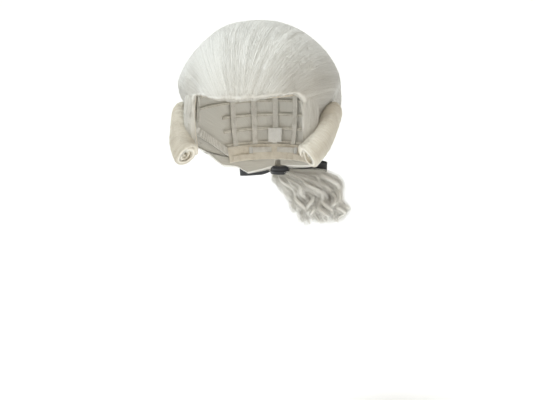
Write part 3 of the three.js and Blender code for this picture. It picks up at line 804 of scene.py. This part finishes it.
def gathered_fibres(count=900, steps=14):
    rng = np.random.default_rng(401)
    along = np.linspace(0, 1, steps)[None, :, None]
    turn = rng.uniform(0, 2 * np.pi, count)
    radius = (TIE_BORE - 1.2) * np.sqrt(rng.uniform(0, 1, count))
    spread = np.cos(turn) * radius
    root_round = 180 - spread / (TIE_BORE - 1.2) * rng.uniform(6, 44, count)
    root_down = 122.5 - 0.16 * np.abs(root_round - 180) + rng.uniform(-3.5, 0.3, count)
    root_lift = mix(5.6, 11.4, (np.sin(turn) * radius / TIE_BORE + 1) / 2)
    root = off_head(heading(root_round, root_down), root_lift)[:, None]
    level = rng.uniform(-3, 2, count) - 2
    end = TIE + np.stack([spread, np.sin(turn) * radius, level], -1)
    end = end[:, None]
    knee = end + np.array([0, 0, 15.0])
    knee = mix(knee, root, 0.25)
    paths = root * (1 - along) ** 2 + knee * 2 * along * (1 - along) + end * along ** 2
    outward = unit(np.stack([np.cos(turn), np.sin(turn), 0 * turn], -1))[:, None] + 0 * paths
    thick = rng.uniform(0.13, 0.2, count)[:, None] + 0 * along[..., 0]
    shade = np.clip(rng.normal(0.6, 0.22, count), 0, 1)
    made = strands("gathered_fibres", paths, thick, outward, shade, loose_fibre, None)
    for piece in made:
        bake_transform(piece)
    return made


gathered = gathered_fibres()
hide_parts("tail_gather")

# %% [markdown]
# ## The curly tail
# Below the tie the hair is loose and frizzy. Each curl is a helix that widens as it falls, and
# each carries some fifty fibres that stay close at the top and spread at the tip. Between the
# curls, single stray fibres fill the outline.

# %% Curly tail
TAIL_DROP = 60.0
TAIL_LEAN, TAIL_BACK, TAIL_CURVE = 44.0, 20.0, 3.0


def tail_middle(fall):
    lean = TAIL_LEAN * (1 - (1 - np.clip(fall, 0, 1)) ** TAIL_CURVE)
    back = TAIL_BACK * (1 - (1 - np.clip(fall, 0, 1)) ** 2)
    return TIE + np.stack([lean, back, 4.0 - fall * (TAIL_DROP + 4)], -1)


def curl_lines(count, steps, rng, spread, tightness):
    """The middle lines of curls, from inside the tie to the tips."""
    turn = 2.39996 * np.arange(count) + rng.uniform(-0.3, 0.3, count)
    place = np.sqrt((np.arange(count) + 0.5) / count)
    along = np.linspace(0, 1, steps)[None, :]
    reach = rng.uniform(0.78, 1.06, count)[:, None]
    fall = along * reach
    opened = smooth(fall, -0.06, 0.22) * (1 - 0.2 * smooth(fall, 0.7, 1.05))
    wide = mix(6.5, spread[0], opened) * place[:, None]
    deep = mix(6.5, spread[1], opened) * place[:, None]
    helix = tightness * smooth(fall, 0.03, 0.4) * rng.uniform(0.6, 1.25, count)[:, None]
    winding = fall * TAIL_DROP / rng.uniform(19, 31, count)[:, None] * 2 * np.pi
    winding = winding * np.where(rng.uniform(0, 1, count) < 0.5, 1, -1)[:, None]
    phase = rng.uniform(0, 2 * np.pi, count)[:, None]
    line = tail_middle(fall)
    line[..., 0] += np.cos(turn)[:, None] * wide + helix * np.cos(winding + phase)
    line[..., 1] += np.sin(turn)[:, None] * deep + helix * np.sin(winding + phase)
    line[..., 2] += 1.6 * helix / tightness * np.sin(winding * 0.5 + phase)
    arch = 11.0 * place * np.clip(np.cos(turn), 0, 1)
    line[..., 2] += arch[:, None] * np.sin(np.pi * np.clip(fall / 0.6, 0, 1))
    return line, fall


def tail_joined(made):
    for piece in made:
        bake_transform(piece)


def tail_curls(count=46, steps=44, each=56):
    rng = np.random.default_rng(501)
    line, fall = curl_lines(count, steps, rng, (31.0, 19.0), 4.8)
    body = 1.0 + 1.5 * smooth(fall, 0.05, 0.35) * (1 - 0.85 * smooth(fall, 0.6, 0.9))
    facing = unit(line - tail_middle(fall) + 1e-3)
    # Painted light: the curl cores' tones are kept high to lift the shade inside the curl mass.
    shade = rng.uniform(0.6, 0.9, count)
    tail_joined(strands("tail_curl_cores", line, body, facing, shade, tail_lit_fibre, None, sides=8))
    along = unit(np.gradient(line, axis=1))
    across = unit(np.cross(along, facing))
    over = np.cross(across, along)
    turn = rng.uniform(0, 2 * np.pi, (count, each, 1))
    radius = np.sqrt(rng.uniform(0.2, 5.5, (count, each, 1)))
    twist = turn + fall[:, None] * rng.uniform(1.0, 4.0, (count, each, 1))
    frizz = 0.5 * noise(fall[:, None] * 16 + turn * 9, turn * 7, 51)
    frayed = 1.5 * smooth(fall[:, None], 0.75, 1.05)
    size = (body[:, None] + 0.25) * radius + frizz + frayed * radius
    paths = (line[:, None] + across[:, None] * (np.cos(twist) * size)[..., None]
             + over[:, None] * (np.sin(twist) * size)[..., None])
    paths = paths.reshape(count * each, steps, 3)
    outward = unit(paths - np.repeat(line, each, 0) + 1e-3)
    thick = rng.uniform(0.09, 0.16, (count * each, 1)) * (1 - 0.6 * np.linspace(0, 1, steps) ** 4)
    shade = np.clip(rng.normal(0.85, 0.2, count * each), 0, 1)
    return strands("tail_curls", paths, thick, outward, shade, tail_lit_fibre, None)


def tail_strays(count=260, steps=40):
    rng = np.random.default_rng(502)
    line, fall = curl_lines(count, steps, rng, (37.0, 24.0), 3.6)
    facing = unit(line - tail_middle(fall) + 1e-3)
    thick = rng.uniform(0.05, 0.10, count)[:, None] + 0 * fall
    shade = np.clip(rng.normal(0.8, 0.15, count), 0, 1)
    return strands("tail_stray_fibres", line, thick, facing, shade, tail_lit_fibre, None)


curls = tail_curls()
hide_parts(*[f"tail_lock_{k}" for k in range(1, 6)])
tail_joined(curls)
tail_joined(tail_strays())

# %% [markdown]
# ## Woven materials
# Everything inside the cap is narrow woven goods. A weave is two sets of fine threads, so its
# bump comes from two crossing wave textures, about a third of a millimetre apart, broken up by
# noise so that it isn't a perfect grid. The same recipe in other scales and colours gives
# cotton tape, ribbed elastic, velvet and label cloth.

# %% Cloth material
def cloth(name, colour, deep, threads=(900, 900), depth=0.0002, rough=0.85, sheen=0.2):
    paint, shader = new_paint(name, {
        "Roughness": rough, "Sheen Weight": sheen, "Sheen Roughness": 0.5,
    })
    link = paint.node_tree.links.new
    place = add_node(paint, "TexCoord")
    weave = add_node(paint, "Math")
    weave.operation = "MAXIMUM"
    for k in range(2):
        wave = add_node(paint, "TexWave", {"Scale": threads[k], "Distortion": 1.2, "Detail": 1})
        wave.bands_direction = "XZ"[k]
        link(place.outputs["Object"], wave.inputs["Vector"])
        link(wave.outputs["Fac"], weave.inputs[k])
    worn = add_node(paint, "TexNoise", {"Scale": 140, "Detail": 5})
    tone = add_node(paint, "Math")
    tone.operation = "MULTIPLY"
    stretch = add_node(paint, "MapRange", {"From Min": 0.1, "From Max": 0.5})
    blend = colour_blend(paint, deep, colour)
    bump = add_node(paint, "Bump", {"Strength": 0.7, "Distance": depth})
    link(place.outputs["Object"], worn.inputs["Vector"])
    link(weave.outputs["Value"], tone.inputs[0])
    link(worn.outputs["Fac"], tone.inputs[1])
    link(tone.outputs["Value"], stretch.inputs["Value"])
    link(stretch.outputs["Result"], blend.inputs["Factor"])
    link(blend.outputs["Result"], shader.inputs["Base Color"])
    link(weave.outputs["Value"], bump.inputs["Height"])
    link(bump.outputs["Normal"], shader.inputs["Normal"])
    return paint


cotton_tape = cloth("cotton_tape", (0.88, 0.83, 0.73), (0.60, 0.54, 0.44), threads=(420, 420))
ribbed_elastic = cloth("ribbed_elastic", (0.92, 0.90, 0.85), (0.60, 0.58, 0.52),
                       threads=(260, 900), depth=0.0004)
velvet_lining = cloth("velvet_lining", (0.66, 0.52, 0.38), (0.44, 0.32, 0.21),
                      threads=(1200, 1200), sheen=0.8)
label_cloth = cloth("label_cloth", (0.90, 0.90, 0.88), (0.70, 0.70, 0.68),
                    threads=(700, 700), depth=0.0001)
net_thread = cloth("net_thread", (0.74, 0.66, 0.53), (0.48, 0.41, 0.31),
                   threads=(1500, 1500), depth=0.0001)
weft_cloth = cloth("weft_cloth", (0.86, 0.83, 0.76), (0.52, 0.49, 0.42),
                   threads=(520, 150), depth=0.0005)
sewing_thread = cloth("sewing_thread", (0.86, 0.83, 0.76), (0.60, 0.57, 0.50),
                      threads=(2000, 2000), depth=0.0001)
satin = cloth("black_satin_ribbon", (0.020, 0.021, 0.027), (0.008, 0.008, 0.011),
              threads=(3000, 900), depth=0.00006, rough=0.30, sheen=0.15)
print("finishes so far", len(bpy.data.materials))

# %% [markdown]
# The stays and hooks are clear moulded nylon: smooth, faintly milky and slightly uneven.

# %% Moulded nylon
def nylon(name, colour, rough):
    paint, shader = new_paint(name, {
        "Base Color": (*colour, 1), "Roughness": rough, "Transmission Weight": 0.25,
    })
    link = paint.node_tree.links.new
    place = add_node(paint, "TexCoord")
    flow = add_node(paint, "TexNoise", {"Scale": 260})
    bump = add_node(paint, "Bump", {"Strength": 0.25, "Distance": 0.0002})
    link(place.outputs["Object"], flow.inputs["Vector"])
    link(flow.outputs["Fac"], bump.inputs["Height"])
    link(bump.outputs["Normal"], shader.inputs["Normal"])
    return paint


stay_nylon = nylon("stay_nylon", (0.80, 0.81, 0.80), 0.38)
hook_nylon = nylon("hook_nylon", (0.84, 0.84, 0.82), 0.25)
print("nylons", stay_nylon.name, hook_nylon.name)

# %% [markdown]
# ## Dress the cap's own pieces
# The frame already holds the tapes, bands, wefts, stays, straps and hooks in their true shapes,
# so they only need the right cloth.

# %% Materials on the frame's pieces
CAP_FINISH = {
    "front_band": cotton_tape, "nape_band": cotton_tape, "ear_tab": cotton_tape,
    "ear_elastic": ribbed_elastic, "side_ribbon": ribbed_elastic, "back_ribbon": ribbed_elastic,
    "forehead_lining": velvet_lining, "care_label": label_cloth, "weft": weft_cloth,
    "tab_stay": stay_nylon, "adjuster_hook": hook_nylon, "adjuster_strap": ribbed_elastic,
    "eyelet_tape": cotton_tape, "tail_elastic": ribbed_elastic,
}
dressed = 0
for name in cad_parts:
    finish = next((paint for word, paint in CAP_FINISH.items() if word in name), None)
    piece = bpy.data.objects.get(name)
    if finish and piece:
        piece.data.materials.clear()
        piece.data.materials.append(finish)
        dressed += 1
print("dressed", dressed, "of", len(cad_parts), "frame pieces")

# %% [markdown]
# ## The stretch net
# The crown of the cap is a net, not a sheet: two families of threads slant across each other
# round the head and meet in a ring at the top. Real threads keep it see-through, which a
# patterned dome would not be.

# %% Crown net
NET_FOOT = 61.0
NET_LIFT = 2.3


def head_threads(name, around, down, lift, radius, finish, body="cap", sides=5):
    """Threads along the head from arrays of angles, one row for each thread."""
    direction = heading(around, down)
    paths = off_head(direction, lift + 0 * around)
    points, quads, tris = tubes(paths, radius, direction, sides)
    piece = new_piece(name, points, quads, tris)
    piece.data.materials.append(finish)
    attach(piece, body)
    return piece


slant = np.linspace(0, 1, 44)[None, :]
first = np.arange(64)[:, None] * 360 / 64
net_down = mix(3.0, NET_FOOT, slant ** 0.85)
over = head_threads("net_threads_over", first + 75 * slant, net_down + 0 * first,
                    NET_LIFT + 0.25, 0.22, net_thread)
head_threads("net_threads_under", first - 75 * slant, net_down + 0 * first,
             NET_LIFT - 0.1, 0.22, net_thread)
turn = np.linspace(0, 360, 97)[None, :]
ring_down = np.array([3.0, 20.0, 38.0, NET_FOOT - 0.4])[:, None]
head_threads("net_rings", turn + 0 * ring_down, ring_down + 0 * turn,
             NET_LIFT, 0.5, net_thread)
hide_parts("crown_net")
print("net threads", 2 * len(first), "in two families and", len(ring_down), "rings")

# %% [markdown]
# ## Stitches
# Tapes are sewn down with a zigzag that lets them stretch, and wefts with a running stitch.
# Each seam is one thread that follows its edge on the inside of the cap, where it shows.

# %% Seams
def seam(name, around, down, lift, swing, pitch, radius=0.16, upright=False):
    """A zigzag thread along a line on the head; swing is its half width in degrees."""
    length = np.hypot(np.diff(around), np.diff(down)).sum() * 1.55
    steps = max(6, int(length / pitch))
    where = np.linspace(0, len(around) - 1, steps)
    a = np.interp(where, np.arange(len(around)), around)
    d = np.interp(where, np.arange(len(down)), down)
    side = swing * (np.arange(steps) % 2 * 2 - 1)
    a, d = (a + side, d) if upright else (a, d + side)
    height = lift - 0.12 * (np.arange(steps) % 2)
    return head_threads(name, a[None], d[None], height[None], radius, sewing_thread,
                        sides=4)


TAPE_INSIDE = 1.85
for k in range(5):
    middle = 140 + 20 * k
    run = np.linspace(61.5, 113.5, 12)
    for edge, word in ((-1.9, "near"), (1.9, "far")):
        beside = 0 * run + middle + edge
        seam(f"back_ribbon_seam_{k + 1}_{word}", beside, run, TAPE_INSIDE, 0.35, 1.5, upright=True)
for k in range(7):
    row = mix(66.0, 112.0, k / 6)
    reach = 106 if row < 94 else 50
    run = np.linspace(180 - reach, 180 + reach, 60)
    seam(f"weft_seam_{k + 1}", run, 0 * run + row + 0.8, 3.42, 0.45, 2.0)
run = np.linspace(-51, 51, 40)
seam("lining_seam_upper", run, 0 * run + 66.9, 0.45, 0.3, 1.6)
seam("lining_seam_lower", run, 0 * run + 73.3, 0.45, 0.3, 1.6)
run = np.linspace(131.5, 228.5, 40)
seam("nape_seam_upper", run, 0 * run + 114.7, TAPE_INSIDE, 0.35, 1.6)
seam("nape_seam_lower", run, 0 * run + 122.4, TAPE_INSIDE, 0.35, 1.6)
around = np.array([173.6, 186.4, 186.4, 173.6, 173.6])
down = np.array([105.5, 105.5, 112.6, 112.6, 105.5])
seam("label_seam", around, down, 0.45, 0.0, 2.2)

# %% [markdown]
# ## Ribbon bow
# A bow is one satin ribbon: it winds round the tie, makes two loops and ends in two slanting
# tails. A strip bent along a line gives its flat weave and firm edges. Near the knot it is
# gathered, so it narrows and its width folds into pleats that fade out along the loop.

# %% Ribbon strips
RIBBON_WIDTH = 17.0
RIBBON_THICK = 0.6
WRAP_RADIUS = 12.0
KNOT = TIE + np.array([0, WRAP_RADIUS + 3.8, 6.5])


def ribbon_strip(name, line, across, width, pleat, body, columns=17):
    """A thin strip along a line: across is the way its width runs, pleat how high it folds."""
    along = unit(np.gradient(line, axis=0))
    face = unit(np.cross(along, across))
    u = np.linspace(-1, 1, columns)[None, :, None]
    fold = (pleat[:, None] * np.cos(np.pi * 2.5 * np.linspace(-1, 1, columns))[None, :])[..., None]
    middle = line[:, None] + across[:, None] * (u * width[:, None, None] / 2) + face[:, None] * fold
    front = middle + face[:, None] * RIBBON_THICK / 2
    back = middle - face[:, None] * RIBBON_THICK / 2
    piece = closed_sheet(name, front, back)
    piece.data.materials.append(satin)
    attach(piece, body)
    return piece


def bow_loop(word, side):
    turn = np.linspace(0, 1, 70)
    angle = 2 * np.pi * turn
    out = side * (6 + 23.5 * (1 - np.cos(angle)))
    deep = 7.4 * np.sin(angle) * np.sin(angle / 2) ** 0.6
    reach = (np.abs(out) - 6) / 47
    drop = -1.5 * reach - 2.0 * reach ** 2 + 0.7 * np.sin(angle)
    line = KNOT + np.stack([out, deep + 0.4, drop], -1)
    across = unit(np.stack([0 * turn + side * 0.06, 0.18 * np.sin(angle), 1 + 0 * turn], -1))
    width = RIBBON_WIDTH * mix(0.42, 1.0, smooth(reach, 0.0, 0.45))
    pleat = 1.3 * (1 - smooth(reach, 0.0, 0.5)) * side
    name = f"{word}_bow_loop"
    piece = ribbon_strip(name, line, across, width, pleat, "tie")
    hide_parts(f"{word}_ribbon_loop")
    return piece


def bow_tail(word, side):
    fall = np.linspace(0, 1, 60)
    out = side * mix(4.0, 21.0, fall) + TAIL_LEAN * 0.95 * (1 - (1 - fall * 0.8) ** TAIL_CURVE)
    back = 3.2 + 41 * fall ** 1.2 + 0.8 * np.sin(fall * 9 + side)
    line = KNOT + np.stack([out, back, -5 - 53 * fall], -1)
    twist = 0.25 * np.sin(fall * 5 + side)
    across = unit(np.stack([1 + 0 * fall, twist, 0.25 * side + 0 * fall], -1))
    width = RIBBON_WIDTH * mix(0.5, 0.96, smooth(fall, 0, 0.3))
    pleat = 0.9 * (1 - smooth(fall, 0.0, 0.4))
    name = f"{word}_bow_tail"
    piece = ribbon_strip(name, line, across, width, pleat, "ribbon_tails")
    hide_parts(f"{word}_ribbon_tail")
    return piece


for word, side in (("left", 1), ("right", -1)):
    bow_loop(word, side)
    bow_tail(word, side)
turn = np.linspace(0, 2 * np.pi, 90)
circle = np.stack([np.sin(turn), np.cos(turn), 0 * turn], -1)
slope = np.stack([0 * turn, 0 * turn, 6.5 + 0.5 * np.cos(turn)], -1)
round_tie = TIE + WRAP_RADIUS * circle + slope
upright = np.tile([0.0, 0.0, 1.0], (90, 1))
wrap = ribbon_strip("bow_wrap", round_tie, upright, 0 * turn + 10, 0 * turn + 0.35, "tie")
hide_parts("ribbon_wrap")
turn = np.linspace(0.0, 2 * np.pi, 60)
oval = [0.25 * np.sin(turn * 2), 3.4 * np.cos(turn) + 0.2, 5.2 * np.sin(turn)]
round_knot = KNOT + np.stack(oval, -1)
sideways = np.tile([1.0, 0.0, 0.0], (60, 1))
knot = ribbon_strip("bow_knot", round_knot, sideways, 11 - 2 * np.cos(turn), 0 * turn + 0.55, "tie")
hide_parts("ribbon_knot")
